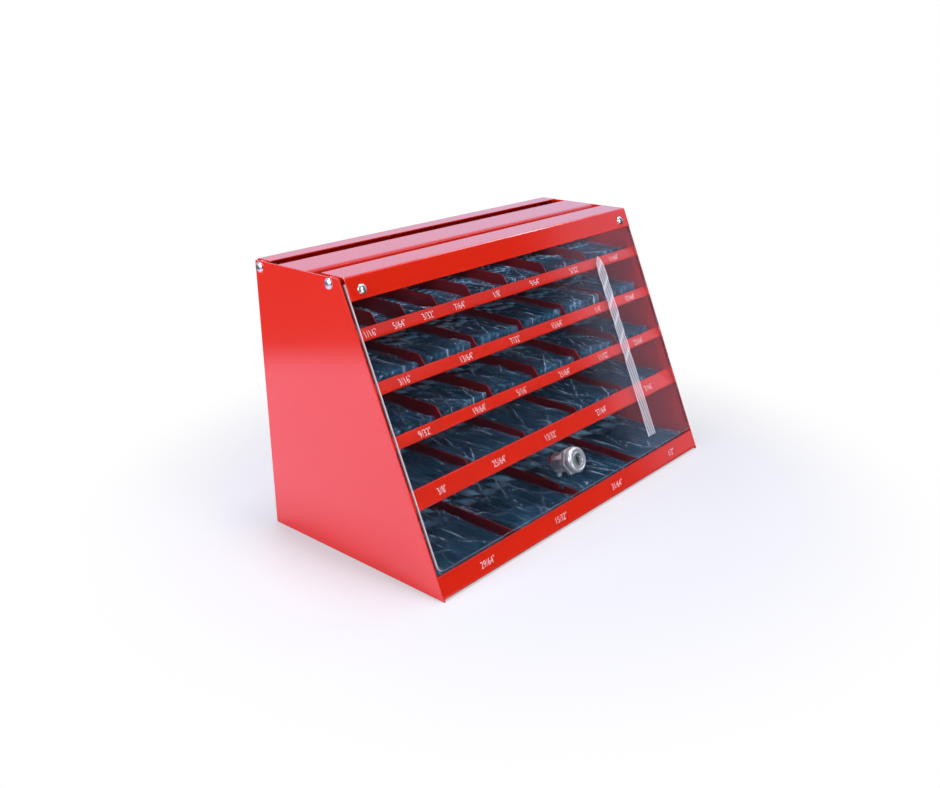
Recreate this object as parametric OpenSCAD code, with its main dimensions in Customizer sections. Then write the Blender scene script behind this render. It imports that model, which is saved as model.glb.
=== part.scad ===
// Drill bit display stand: a sloping sheet-steel cabinet with five trays of divided pockets,
// a clear flip-up front door with a cam lock, a flip-up rear loading door and bagged drill bits.
// Millimetres, +Z up, front towards -Y, origin on the floor under the middle of the side panels.

/* [Cabinet] */
// Outside width over both side panels
cabinet_width = 368; // [330:1:420]
// Depth of the side panels along the floor
cabinet_depth = 194; // [192:1:230]
// Height of the side panels
cabinet_height = 226.5; // [222:0.5:250]
// How far the front top corner stands back from the front bottom corner
front_setback = 98; // [86:1:102]
// Thickness of the sheet steel
sheet = 1.2; // [0.8:0.1:1.6]
// Middle line radius of the folds in the sheet
bend_radius = 1.8; // [1.2:0.1:2.4]

/* [Top] */
// Groove behind the front header, through which its strip swings down
front_groove = 12.6; // [8:0.2:15]
// Groove ahead of the rear header
rear_groove = 7.7; // [5:0.1:10]
// Middle line radius of the top panel's soft front and rear bends
top_bend_radius = 3.4; // [2:0.2:5]
// Height of the top panel's down-turned flanges
top_flange = 14; // [10:1:18]

/* [Trays] */
// Underside of tray 1, the top tray
tray_1_level = 180; // [177:0.5:183]
// Underside of tray 2
tray_2_level = 142.5; // [140:0.5:145]
// Underside of tray 3
tray_3_level = 104; // [101:0.5:107]
// Underside of tray 4
tray_4_level = 60; // [57:0.5:62]
// Face height of the front lips on trays 1 to 3
small_lip = 13; // [11:0.2:14]
// Face height of the front lip on tray 4
large_lip = 19; // [16:0.5:21]
// Face height of the front lip on the base tray
base_lip = 19.4; // [18:0.2:22]
// Lean of the lips on trays 1 to 4 from the vertical, in degrees
lip_lean = 41; // [30:1:45]
// Gap between the back of the closed door and the lips
lip_clear = 0.7; // [0.5:0.1:1.5]
// Length of the hem folded in at the top of each lip
hem_length = 4; // [3:0.5:6]
// Height of the upstand at the back of each tray
tray_upstand = 10; // [8:0.5:14]
// Gap between the trays and the rear door
tray_rear_gap = 1; // [0.6:0.1:2]

/* [Dividers] */
// Thickness of the divider plates
divider_thickness = 1; // [0.8:0.1:1.4]
// Height of the dividers in trays 1 to 4
divider_height = 14.4; // [12:0.2:17]
// Height of the dividers in the base tray
base_divider_height = 16.4; // [15.4:0.2:18]
// Gap between a divider and the hem or upstand at its ends
divider_clear = 0.3; // [0.2:0.1:0.6]
// Pockets in trays 1 to 4 and in the base tray
pockets = [8, 6, 6, 5, 4];
// Width of the narrowest pocket in tray 1
first_pocket = 27.6; // [25:0.2:32]
// How steeply the pockets of tray 1 widen to the right
pocket_growth = 1.4; // [1:0.1:2]

/* [Front door] */
// Gap between the doors and the inside of each side panel
door_side_gap = 2; // [1.6:0.1:2.6]
// Thickness of the clear pane
pane_thickness = 3; // [2.5:0.1:4]
// How far the pane stands proud of the side panels' front edges
pane_proud = 1.3; // [0.8:0.1:1.6]
// Gap between the bottom of the pane and the top of the base lip
pane_bottom_gap = 2.5; // [1.5:0.1:4]
// Radius of the pane's lower corners
pane_corner = 5; // [3:0.5:8]
// Gap between the top of the pane and the header's top strip
pane_top_gap = 3; // [2:0.5:5]
// Height of the header's front flange
header_flange = 17.4; // [16:0.2:19]
// Depth of the header's top strip
header_depth = 24.4; // [22:0.2:26]
// Height of the headers above the side panels' top edges
header_raise = 0.8; // [0.4:0.1:1.4]

/* [Rear door] */
// How far the rear header stands proud of the side panels' rear edges
rear_proud = 2; // [1.6:0.1:3]
// Depth of the rear header's top strip
rear_header_depth = 16.8; // [16:0.2:18]
// Height of the rear header's flange
rear_flange = 16; // [15:0.5:18]
// Gap under the rear panel
rear_panel_gap = 2.5; // [1.5:0.1:4]

/* [Pivots and screws] */
// Front pivot behind the side panel's front top corner
front_pivot_back = 11; // [10:0.1:12]
// Rear pivot ahead of the side panel's rear edge
rear_pivot_in = 4.9; // [4.6:0.1:6]
// Pivots below the side panels' top edges
pivot_drop = 5; // [4.8:0.1:6]
// Radius of the pivot rivets' shanks
pivot_radius = 2.4; // [2:0.1:2.6]
// Radial clearance between a pivot and its holes
pivot_fit = 0.06; // [0.03:0.01:0.1]
// Radius of the pivot rivets' domed heads
rivet_head = 4.3; // [3.6:0.1:4.6]
// Radius of the spacers on the pivots
spacer_radius = 4.6; // [4:0.1:4.7]
// Play at each face of the spacers and of the rivet tails
pivot_play = 0.12; // [0.05:0.01:0.2]
// Door screws in from the ends of the doors
screw_inset = 13; // [10:0.5:18]
// Door screws above the lower edge of their flange
screw_rise = 7; // [6:0.5:8]
// Radius of the door screws' shanks
screw_radius = 2; // [1.5:0.1:2.3]
// Radius of the door screws' heads
screw_head = 4; // [3.5:0.1:4.5]
// Clearance between the door screws and their holes
screw_clear = 0.2; // [0.1:0.05:0.3]

/* [Lock] */
// Lock axis above the lower edge of the pane
lock_rise = 27; // [26:0.5:30]
// Radius of the lock's head
lock_head = 11; // [10.5:0.1:12]
// Height of the lock's head
lock_head_height = 5; // [4:0.2:6]
// Radius of the lock's barrel
lock_barrel = 9; // [8:0.1:9.2]
// Distance across the flats of the barrel
lock_flats = 15.6; // [14.4:0.2:16]
// Length of the barrel behind the front plane of the cabinet
lock_length = 20; // [18:0.5:21]
// Clearance between the barrel and the pane or the nut
lock_clear = 0.25; // [0.15:0.05:0.4]
// Distance across the flats of the lock nut
lock_nut_flats = 22; // [21:0.5:24]
// Thickness of the lock nut
lock_nut_height = 4; // [3:0.2:5]
// Radius of the turning plug
plug_radius = 5.5; // [5:0.1:6]
// Radial clearance of the plug in the barrel
plug_fit = 0.07; // [0.03:0.01:0.1]
// Width of the plug's square tail
plug_tail = 6; // [5:0.1:6.6]
// Reach of the cam from the lock's axis
cam_reach = 23; // [22:0.25:23.5]
// Width of the cam
cam_width = 9; // [8:0.2:10]
// Thickness of the cam
cam_thickness = 2; // [1.5:0.1:2.5]
// Thickness of the stop washer
stop_thickness = 1; // [0.8:0.1:1.2]
// Reach of the stop washer's tab
stop_reach = 12.5; // [11:0.5:14]
// Room around the cam in the notch of the middle divider
notch_clear = 0.8; // [0.5:0.1:1.2]

/* [Drill bits] */
// Smallest drill of each tray in 64ths of an inch
first_size = [4, 12, 18, 24, 29];
// Least spacing of the drills across a pouch, in drill diameters
bit_spacing = 1.12; // [1.08:0.01:1.4]
// Gap between the drills of one layer and those of the next, which lie in their hollows
nest_gap = 0.12; // [0.05:0.01:0.3]
// Most drills in one layer of a pouch
most_bits = 8; // [3:1:10]
// Layers of drills in the pouches of each tray, two or more in trays 1 and 2
layers = [2, 2, 1, 1, 1];
// Film thickness of the pouches
film = 0.3; // [0.2:0.05:0.5]
// Room between the drills and the film
film_clear = 0.3; // [0.2:0.05:0.5]
// Gap between a pouch and the tray under it
rest_gap = 0.1; // [0.05:0.05:0.3]
// Gap between a pouch and the dividers beside it
pouch_side_gap = 4.5; // [3:0.5:7]
// Gap between a pouch and the hem of the lip in front of it
pouch_front_gap = 1; // [0.8:0.1:2]
// Least gap between a pouch and the upstand behind it; shorter drills are kept where the tray is shallow
pouch_rear_gap = 1; // [0.6:0.1:2]
// Length of film past each end of the drills
pouch_end = 2; // [1:0.2:2.4]

/* [Hidden] */
$fn = 48;
inch = 25.4;
small_lengths = [1.875, 2, 2.25, 2.625, 2.75, 2.875, 3.125, 3.25];
lean = atan(front_setback / cabinet_height);
clear_width = cabinet_width - 2 * sheet;
door_half = clear_width / 2 - door_side_gap;
pane_back = pane_proud - pane_thickness;
lip_out = pane_back - lip_clear;
hem_gap = sheet + 0.4;
hem_radius = sheet / 2 + 0.15;
hem_depth = sheet + hem_gap;
levels = [tray_1_level, tray_2_level, tray_3_level, tray_4_level, 0];
lips = [small_lip, small_lip, small_lip, large_lip, base_lip];
leans = [lip_lean, lip_lean, lip_lean, lip_lean, lean];
divider_heights = [divider_height, divider_height, divider_height, divider_height, base_divider_height];
strip_top = cabinet_height + header_raise;
strip_mid = strip_top - sheet / 2;
flange_mid = pane_proud + sheet / 2;
corner_s = (strip_mid - flange_mid * sin(lean)) / cos(lean);
flange_low = corner_s - header_flange;
strip_rear = corner_s * sin(lean) - flange_mid * cos(lean) + header_depth;
pane_low = base_lip + pane_bottom_gap;
pane_high = (strip_top - sheet - pane_top_gap - pane_proud * sin(lean)) / cos(lean);
lock_s = pane_low + lock_rise;
head_front = -pane_proud - lock_head_height;
stop_z = lock_length + 0.3;
cam_z = stop_z + stop_thickness;
cam_tip = lock_s - cam_reach;
keeper_top = sheet + base_divider_height;
notch_front = on_slope(-cam_z, cam_tip)[0] - notch_clear;
notch_back = keeper_top * tan(lean) + (cam_z + cam_thickness) / cos(lean) + notch_clear;
notch_floor = on_slope(-cam_z - cam_thickness, cam_tip)[1] - notch_clear;
front_pivot = [front_setback + front_pivot_back, cabinet_height - pivot_drop];
rear_pivot = [cabinet_depth - rear_pivot_in, cabinet_height - pivot_drop];
rear_face = cabinet_depth + rear_proud;
panel_front = rear_face - 2 * sheet;
rear_low = strip_top - rear_flange;
tray_rear = panel_front - tray_rear_gap;
pivot_bore = pivot_radius + pivot_fit;
nut_height = 2.4;

// Folded sheet: the outline of a strip that follows a path and turns each corner on a radius
function unit(v) = v / norm(v);
function perp(v) = [-v[1], v[0]];
function turn(a, b) = atan2(a[0] * b[1] - a[1] * b[0], a[0] * b[0] + a[1] * b[1]);
function reversed(v) = [for (i = [len(v) - 1 : -1 : 0]) v[i]];
function fold_side(p, r, off, n = 5) = let (m = len(p) - 1) concat(
    [p[0] + off * perp(unit(p[1] - p[0]))],
    [for (i = [1 : m - 1])
        let (d0 = unit(p[i] - p[i - 1]), a = turn(d0, unit(p[i + 1] - p[i])), g = sign(a),
            c = p[i] - d0 * r[i - 1] * tan(abs(a) / 2) + g * r[i - 1] * perp(d0),
            q = -g * perp(d0), a0 = atan2(q[1], q[0]))
        for (k = [0 : n]) c + (r[i - 1] - g * off) * [cos(a0 + a * k / n), sin(a0 + a * k / n)]],
    [p[m] + off * perp(unit(p[m] - p[m - 1]))]);
module folded(p, r) polygon(concat(fold_side(p, r, sheet / 2), reversed(fold_side(p, r, -sheet / 2))));

// Places: a profile drawn in Y and Z run along X, the sloping front plane and the lock's axis
module along_x(width) translate([-width / 2, 0, 0]) rotate([90, 0, 90]) linear_extrude(width) children();
module on_front() rotate([-lean, 0, 0]) children();
module on_lock() on_front() translate([0, 0, lock_s]) rotate([-90, 0, 0]) children();
module both_sides() for (m = [0, 1]) mirror([m, 0, 0]) children();
function on_slope(o, s) = [s * sin(lean) - o * cos(lean), s * cos(lean) + o * sin(lean)];

// The parts are drawn from the front bottom corner and placed about the middle of the depth
module placed() translate([0, -cabinet_depth / 2, 0]) children();

// Trays: where a lip starts, the directions along and behind it, and the pockets across a tray
function foot(t) = t == 4 ? [0, 0] : [levels[t] * tan(lean) - lip_out / cos(lean), levels[t]];
function up_lip(t) = [sin(leans[t]), cos(leans[t])];
function in_lip(t) = [cos(leans[t]), -sin(leans[t])];
function behind_lip(t, d, z) = foot(t) + in_lip(t) * d
    + up_lip(t) * (z - foot(t)[1] + sin(leans[t]) * d) / cos(leans[t]);
function total(v, n) = n == 0 ? 0 : v[n - 1] + total(v, n - 1);
growth_sum = total([for (j = [0 : pockets[0] - 1]) pow(j, pocket_growth)], pockets[0]);
function pocket_widths(t) = t == 0
    ? [for (j = [0 : pockets[0] - 1]) first_pocket
        + (clear_width - pockets[0] * first_pocket) * pow(j, pocket_growth) / growth_sum]
    : [for (j = [0 : pockets[t] - 1]) clear_width / pockets[t]];
function pocket_edge(t, j) = -clear_width / 2 + total(pocket_widths(t), j);

module side_panel() linear_extrude(sheet) difference() {
    polygon([[0, 0], [cabinet_depth, 0], [cabinet_depth, cabinet_height], [front_setback, cabinet_height]]);
    translate(front_pivot) circle(pivot_bore);
    translate(rear_pivot) circle(pivot_bore);
}

module left_side_panel() color("#d62a20")
    translate([-cabinet_width / 2, 0, 0]) rotate([90, 0, 90]) side_panel();

module right_side_panel() color("#d62a20")
    translate([cabinet_width / 2 - sheet, 0, 0]) rotate([90, 0, 90]) side_panel();

module top_panel() color("#d62a20") {
    y0 = strip_rear + front_groove + sheet / 2;
    y1 = rear_face - rear_header_depth - rear_groove - sheet / 2;
    z1 = cabinet_height - sheet / 2;
    z0 = cabinet_height - top_flange;
    along_x(clear_width) folded([[y0, z0], [y0, z1], [y1, z1], [y1, z0]], [top_bend_radius, top_bend_radius]);
}

// Tray: hemmed lip, floor and rear upstand folded from one sheet
module tray(t) color("#d62a20") {
    top = foot(t) + in_lip(t) * sheet / 2 + up_lip(t) * (lips[t] - sheet / 2);
    floor_mid = levels[t] + sheet / 2;
    rear_mid = tray_rear - sheet / 2;
    along_x(clear_width) folded([
        top + in_lip(t) * hem_gap - up_lip(t) * hem_length, top + in_lip(t) * hem_gap, top,
        behind_lip(t, sheet / 2, floor_mid), [rear_mid, floor_mid], [rear_mid, levels[t] + tray_upstand]],
        [hem_radius, hem_radius, bend_radius, bend_radius]);
}

// Dividers: low plates that stand on the floor between the hem and the upstand
module divider_plate(t) {
    z0 = levels[t] + sheet;
    z1 = z0 + divider_heights[t];
    in = hem_depth + divider_clear;
    back = tray_rear - sheet - divider_clear;
    root = bend_radius;
    along_x(divider_thickness) polygon([behind_lip(t, in + root, z0), [back - root, z0], [back, z0 + root],
        [back, z1], behind_lip(t, in, z1), behind_lip(t, in, z0 + root)]);
}

module dividers(t) color("#b81f18")
    for (j = [1 : pockets[t] - 1]) if (t < 4 || 2 * j != pockets[t])
        translate([pocket_edge(t, j), 0, 0]) divider_plate(t);

// The middle divider of the base tray keeps the door shut: the lock's cam drops into its notch
module keeper_divider() color("#b81f18") difference() {
    divider_plate(4);
    translate([-divider_thickness, notch_front, notch_floor])
        cube([2 * divider_thickness, notch_back - notch_front, base_divider_height]);
}

// Front door: a folded header with two pivot ears, the pane hung behind its flange
module front_header() color("#d62a20") difference() {
    union() {
        along_x(2 * door_half) folded([on_slope(flange_mid, flange_low), on_slope(flange_mid, corner_s),
            [strip_rear, strip_mid]], [bend_radius]);
        both_sides() translate([door_half - sheet, 0, 0]) rotate([90, 0, 90]) linear_extrude(sheet) {
            ear = pivot_radius + 4.6;
            translate([front_pivot[0] - ear, front_pivot[1]]) square([2 * ear, strip_mid - front_pivot[1]]);
            intersection() {
                translate(front_pivot) circle(ear);
                translate([front_pivot[0] - ear, front_pivot[1] - ear]) square([2 * ear, ear + 1]);
            }
        }
    }
    translate([0, front_pivot[0], front_pivot[1]]) rotate([0, 90, 0])
        cylinder(h = cabinet_width, r = pivot_bore, center = true);
    front_screw_places() cylinder(h = 20, r = screw_radius + screw_clear, center = true);
}

module front_screw_places() on_front() both_sides()
    translate([door_half - screw_inset, -pane_proud, flange_low + screw_rise]) rotate([-90, 0, 0]) children();

module door_pane() color("#cfe3ea", 0.35) difference() {
    on_front() translate([0, -pane_back, 0]) rotate([90, 0, 0]) linear_extrude(pane_thickness) {
        translate([-door_half, pane_low + pane_corner])
            square([2 * door_half, pane_high - pane_low - pane_corner]);
        translate([pane_corner - door_half, pane_low])
            square([2 * (door_half - pane_corner), pane_corner * 2]);
        for (x = [pane_corner - door_half, door_half - pane_corner])
            translate([x, pane_low + pane_corner]) circle(pane_corner);
    }
    front_screw_places() cylinder(h = 20, r = screw_radius + screw_clear, center = true);
    on_lock() cylinder(h = 2 * lock_length, r = lock_barrel + lock_clear, center = true);
}

// Domed fasteners, drawn with the head above z = 0 and the shank below
function dome(r, h) = [for (a = [90 : -15 : 0]) [r * cos(a), h * sin(a)]];
module pan_screw(grip) rotate_extrude() polygon(concat(dome(screw_head, 2.2),
    [[screw_radius, 0], [screw_radius, -grip], [0, -grip]]));
module hex_nut(flats, height, bore) difference() {
    cylinder(h = height, r = flats / sqrt(3), $fn = 6);
    translate([0, 0, -1]) cylinder(h = height + 2, r = bore, $fn = 48);
}
module door_screws() color("#c9ccd0")
    front_screw_places() translate([0, 0, -sheet]) rotate([180, 0, 0])
        pan_screw(sheet + pane_thickness + nut_height + 1);

module door_nuts() color("#b9bdc2")
    front_screw_places() translate([0, 0, pane_thickness]) hex_nut(7, nut_height, screw_radius + 0.05);

// Pivots: rivets through the side panels, with a spacer between each panel and the door's ear
module pivot_places(p) both_sides() translate([cabinet_width / 2, p[0], p[1]]) rotate([0, 90, 0]) children();
module rivet() {
    grip = 2 * sheet + door_side_gap + pivot_play;
    tail = pivot_radius + 1.2;
    rotate_extrude() polygon(concat(dome(rivet_head, 1.8), [[pivot_radius, 0], [pivot_radius, -grip],
        [tail, -grip], [tail, -grip - 0.8], [tail - 0.6, -grip - 1.3], [0, -grip - 1.3]]));
}
module spacer() translate([0, 0, -sheet - door_side_gap + pivot_play]) difference() {
    cylinder(h = door_side_gap - 2 * pivot_play, r = spacer_radius);
    translate([0, 0, -1]) cylinder(h = door_side_gap + 2, r = pivot_bore);
}

module front_pivots() color("#d4d6d8") pivot_places(front_pivot) rivet();
module front_spacers() color("#f2f1ea") pivot_places(front_pivot) spacer();
module rear_pivots() color("#d4d6d8") pivot_places(rear_pivot) rivet();
module rear_spacers() color("#f2f1ea") pivot_places(rear_pivot) spacer();

// Rear door: a header like the front one, with a sheet panel hung inside its flange
module rear_screw_places() both_sides()
    translate([door_half - screw_inset, rear_face - sheet, rear_low + screw_rise])
        rotate([90, 0, 0]) children();

module rear_header() color("#d62a20") difference() {
    y1 = rear_face - sheet / 2;
    y0 = rear_face - rear_header_depth;
    union() {
        along_x(2 * door_half) folded([[y0, strip_mid], [y1, strip_mid], [y1, rear_low]], [bend_radius]);
        both_sides() translate([door_half - sheet, 0, 0]) rotate([90, 0, 90]) linear_extrude(sheet) {
            front = rear_pivot[0] - pivot_radius - 4.6;
            back = panel_front - divider_clear;
            low = rear_pivot[1] - pivot_radius - 3.2;
            polygon([[front, strip_mid], [front, low + 3], [front + 3, low], [back - 2, low], [back, low + 2],
                [back, strip_mid]]);
        }
    }
    translate([0, rear_pivot[0], rear_pivot[1]]) rotate([0, 90, 0])
        cylinder(h = cabinet_width, r = pivot_bore, center = true);
    rear_screw_places() cylinder(h = 20, r = screw_radius + screw_clear, center = true);
}

module rear_panel() color("#d62a20") difference() {
    translate([-door_half, panel_front, rear_panel_gap])
        cube([2 * door_half, sheet, strip_top - sheet - pane_top_gap - rear_panel_gap]);
    rear_screw_places() cylinder(h = 20, r = screw_radius + screw_clear, center = true);
}

module rear_screws() color("#c9ccd0")
    rear_screw_places() translate([0, 0, -sheet]) rotate([180, 0, 0])
        pan_screw(2 * sheet + nut_height + 1);

module rear_nuts() color("#b9bdc2")
    rear_screw_places() translate([0, 0, sheet]) hex_nut(7, nut_height, screw_radius + 0.05);

// Cam lock: head and flatted barrel, nut behind the pane, plug with keyhole, stop washer, cam and screw
module lock_body() color("#d9dcdf") on_lock() difference() {
    union() {
        rotate_extrude() polygon([[0, head_front], [lock_head - 2.2, head_front],
            [lock_head - 0.8, head_front + 0.5], [lock_head, head_front + 1.6],
            [lock_head, -pane_proud], [0, -pane_proud]]);
        intersection() {
            translate([0, 0, -pane_proud - 1]) cylinder(h = lock_length + pane_proud + 1, r = lock_barrel);
            translate([-lock_flats / 2, -lock_barrel, -pane_proud - 1])
                cube([lock_flats, 2 * lock_barrel, lock_length + pane_proud + 1]);
        }
    }
    translate([0, 0, head_front - 1]) cylinder(h = lock_length - head_front + 2, r = plug_radius + plug_fit);
}

module lock_nut() color("#c3c7cb") on_lock()
    translate([0, 0, -pane_back]) hex_nut(lock_nut_flats, lock_nut_height, lock_barrel + lock_clear);

module lock_plug() color("#4a4d50") on_lock() difference() {
    union() {
        translate([0, 0, head_front + 0.6]) cylinder(h = stop_z - head_front - 0.6, r = plug_radius);
        translate([-plug_tail / 2, -plug_tail / 2, stop_z - 1])
            cube([plug_tail, plug_tail, stop_thickness + cam_thickness + 1]);
    }
    translate([-0.8, -3.8, head_front]) cube([1.6, 7.6, 7]);
    translate([0, 0, cam_z - 6]) cylinder(h = 10, r = 1.65);
}

module square_hole() translate([-plug_tail / 2 - 0.1, -plug_tail / 2 - 0.1, -1])
    cube([plug_tail + 0.2, plug_tail + 0.2, 6]);

module lock_stop_washer() color("#c9ccd0") on_lock() translate([0, 0, stop_z]) difference() {
    union() {
        cylinder(h = stop_thickness, r = lock_flats / 2);
        translate([-2.5, 0, 0]) cube([5, stop_reach, stop_thickness]);
    }
    square_hole();
}

module lock_cam() color("#c9ccd0") on_lock() translate([0, 0, cam_z]) difference() {
    union() {
        cylinder(h = cam_thickness, r = lock_flats / 2);
        translate([0, -cam_width / 2, 0]) cube([cam_reach - cam_width / 2, cam_width, cam_thickness]);
        translate([cam_reach - cam_width / 2, 0, 0]) cylinder(h = cam_thickness, r = cam_width / 2);
    }
    square_hole();
}

module lock_cam_screw() color("#b9bdc2") on_lock() translate([0, 0, cam_z + cam_thickness])
    rotate_extrude() polygon(concat(dome(4.6, 2.4), [[1.6, 0], [1.6, -5], [0, -5]]));

// Drill bits lie side by side in each pouch, shanks to the front
function bit_diameter(t, j) = (first_size[t] + j) / 64 * inch;
function jobber_length(n) = (n < 12 ? small_lengths[n - 4] : 3.5 + (n - 12) / 8) * inch;
function tray_room(t, j) = tray_rear - sheet - pouch_rear_gap - pouch_start(t, j) - 2 * pouch_end;
function bit_length(t, j) = min(jobber_length(first_size[t] + j), tray_room(t, j));
function pouch_room(t, j) = pocket_widths(t)[j] - divider_thickness - 2 * (pouch_side_gap + film + film_clear);
function bit_count(t, j) = max(2, min(most_bits, floor(pouch_room(t, j) / bit_diameter(t, j) / bit_spacing)));
function bit_pitch(t, j) = (pouch_room(t, j) - bit_diameter(t, j)) / (bit_count(t, j) - 1);
function bit_centre(t, j) = levels[t] + sheet + rest_gap + film + film_clear + bit_diameter(t, j) / 2;
function layer_step(t, j) = let (d = bit_diameter(t, j))
    max(0.6 * d, sqrt(max(0, pow(d + nest_gap, 2) - pow(bit_pitch(t, j) / 2, 2))));
function pouch_top(t, j) = bit_centre(t, j) + (layers[t] - 1) * layer_step(t, j) + bit_diameter(t, j) / 2
    + film_clear + film;
function lip_top(t) = levels[t] + lips[t] * cos(leans[t]);
function pouch_start(t, j) = behind_lip(t, hem_depth, min(pouch_top(t, j), lip_top(t)))[0] + pouch_front_gap;
function pocket_centre(t, j) = (pocket_edge(t, j) + pocket_edge(t, j + 1)) / 2;

module drill_bit(d, l) rotate([-90, 0, 0]) rotate_extrude($fn = 24)
    polygon([[0, 0], [d * 0.44, 0], [d / 2, d * 0.06], [d / 2, l - d * 0.3], [0, l]]);

// Each second layer lies in the hollows of the one below, with one drill fewer
module drill_layer(t, m) for (j = [0 : pockets[t] - 1])
    let (n = bit_count(t, j) - m % 2)
        for (k = [0 : n - 1])
            translate([pocket_centre(t, j) + (k - (n - 1) / 2) * bit_pitch(t, j), pouch_start(t, j) + pouch_end,
                bit_centre(t, j) + m * layer_step(t, j)]) drill_bit(bit_diameter(t, j), bit_length(t, j));
module drill_bits(t) color("#2c3338") drill_layer(t, 0);
module upper_drill_bits(t) color("#2c3338") for (m = [1 : layers[t] - 1]) drill_layer(t, m);

// Pouch: a flat film sleeve, sealed at the front and open at the back
module rounded(half, rise, r) {
    translate([-half, -r]) square([2 * half, rise + 2 * r]);
    if (rise > 0) translate([-half - r, 0]) square([2 * (half + r), rise]);
    for (x = [-half, half], z = rise > 0 ? [0, rise] : [0]) translate([x, z]) circle(r, $fn = 24);
}

module pouches(t) color("#dfe9ee", 0.3)
    for (j = [0 : pockets[t] - 1])
        let (half = (pouch_room(t, j) - bit_diameter(t, j)) / 2, rise = (layers[t] - 1) * layer_step(t, j),
            r = bit_diameter(t, j) / 2 + film_clear, l = bit_length(t, j) + 2 * pouch_end)
        translate([pocket_centre(t, j), pouch_start(t, j), bit_centre(t, j)]) rotate([90, 0, 0]) {
            translate([0, 0, -l]) linear_extrude(l) difference() {
                rounded(half, rise, r + film);
                rounded(half, rise, r);
            }
            translate([0, 0, -film]) linear_extrude(film) rounded(half, rise, r + film);
        }

placed() left_side_panel();
placed() right_side_panel();
placed() top_panel();
placed() tray(0);  // tray_1
placed() tray(1);  // tray_2
placed() tray(2);  // tray_3
placed() tray(3);  // tray_4
placed() tray(4);  // base_tray
placed() dividers(0);  // dividers_1
placed() dividers(1);  // dividers_2
placed() dividers(2);  // dividers_3
placed() dividers(3);  // dividers_4
placed() dividers(4);  // base_dividers
placed() keeper_divider();
placed() front_header();
placed() door_pane();
placed() door_screws();
placed() door_nuts();
placed() front_pivots();
placed() front_spacers();
placed() rear_header();
placed() rear_panel();
placed() rear_screws();
placed() rear_nuts();
placed() rear_pivots();
placed() rear_spacers();
placed() lock_body();
placed() lock_nut();
placed() lock_plug();
placed() lock_stop_washer();
placed() lock_cam();
placed() lock_cam_screw();
placed() drill_bits(0);  // drill_bits_1
placed() drill_bits(1);  // drill_bits_2
placed() drill_bits(2);  // drill_bits_3
placed() drill_bits(3);  // drill_bits_4
placed() drill_bits(4);  // drill_bits_5
placed() upper_drill_bits(0);  // upper_drill_bits_1
placed() upper_drill_bits(1);  // upper_drill_bits_2
placed() pouches(0);  // pouches_1
placed() pouches(1);  // pouches_2
placed() pouches(2);  // pouches_3
placed() pouches(3);  // pouches_4
placed() pouches(4);  // pouches_5
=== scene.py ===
import math
import random

import bmesh
import bpy
from mathutils import Euler, Matrix, Vector, noise


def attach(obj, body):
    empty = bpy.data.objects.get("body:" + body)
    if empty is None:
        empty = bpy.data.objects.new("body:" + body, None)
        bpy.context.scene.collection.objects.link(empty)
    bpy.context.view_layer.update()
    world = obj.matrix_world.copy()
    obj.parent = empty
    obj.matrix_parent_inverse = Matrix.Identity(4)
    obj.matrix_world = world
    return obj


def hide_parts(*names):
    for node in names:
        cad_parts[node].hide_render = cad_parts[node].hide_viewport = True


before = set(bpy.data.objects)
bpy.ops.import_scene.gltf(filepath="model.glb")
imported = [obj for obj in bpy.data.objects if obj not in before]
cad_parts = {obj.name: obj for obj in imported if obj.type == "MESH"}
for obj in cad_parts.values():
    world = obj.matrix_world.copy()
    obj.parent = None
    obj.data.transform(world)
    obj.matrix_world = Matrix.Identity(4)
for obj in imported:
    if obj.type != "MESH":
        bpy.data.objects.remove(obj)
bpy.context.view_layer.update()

# Cabinet sheet metal: the side panels, top panel and five trays.
# Steel sheet 1.2 mm thick, cut and folded, spot welded together and sprayed with gloss red enamel.
# The coat has a faint orange peel, and its folds and cut edges are softened by the paint.


def new_node(tree, kind, links=None, **values):
    node = tree.nodes.new(kind)
    for name, value in values.items():
        setattr(node, name, value)
    for socket, value in (links or {}).items():
        if isinstance(value, bpy.types.NodeSocket):
            tree.links.new(value, node.inputs[socket])
        else:
            node.inputs[socket].default_value = value
    return node


def new_material(name, **values):
    material = bpy.data.materials.new(name)
    material.use_nodes = True
    tree = material.node_tree
    shader = tree.nodes["Principled BSDF"]
    for socket, value in values.items():
        shader.inputs[socket.replace("_", " ")].default_value = value
    return material, tree, shader


def make_uneven_group():
    tree = bpy.data.node_groups.new("uneven finish", "ShaderNodeTree")
    for way, names in (("INPUT", ("Scale", "Grain")), ("OUTPUT", ("Cloud", "Peel"))):
        for name in names:
            tree.interface.new_socket(name, in_out=way, socket_type="NodeSocketFloat")
    given = new_node(tree, "NodeGroupInput").outputs
    result = new_node(tree, "NodeGroupOutput")
    place = new_node(tree, "ShaderNodeTexCoord").outputs["Object"]
    for scale, detail, name in (("Scale", 3.0, "Cloud"), ("Grain", 1.0, "Peel")):
        texture = new_node(tree, "ShaderNodeTexNoise",
                           {"Vector": place, "Scale": given[scale], "Detail": detail})
        tree.links.new(texture.outputs["Fac"], result.inputs[name])
    return tree


uneven_finish = make_uneven_group()


def place_uneven(tree, scale, grain):
    group = new_node(tree, "ShaderNodeGroup", {"Scale": scale, "Grain": grain}, node_tree=uneven_finish)
    return group.outputs["Cloud"], group.outputs["Peel"]


def blend_colours(tree, factor, *colours):
    first, second = [colour if isinstance(colour, bpy.types.NodeSocket) else (*colour, 1.0)
                     for colour in colours]
    return new_node(tree, "ShaderNodeMix", {"Factor": factor, 6: first, 7: second},
                    data_type="RGBA").outputs[2]


def map_range(tree, value, from_low, from_high, low=0.0, high=1.0, kind="LINEAR"):
    ends = {"Value": value, "From Min": from_low, "From Max": from_high, "To Min": low, "To Max": high}
    return new_node(tree, "ShaderNodeMapRange", ends, interpolation_type=kind).outputs["Result"]


noise_low, noise_high = 0.25, 0.75


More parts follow.
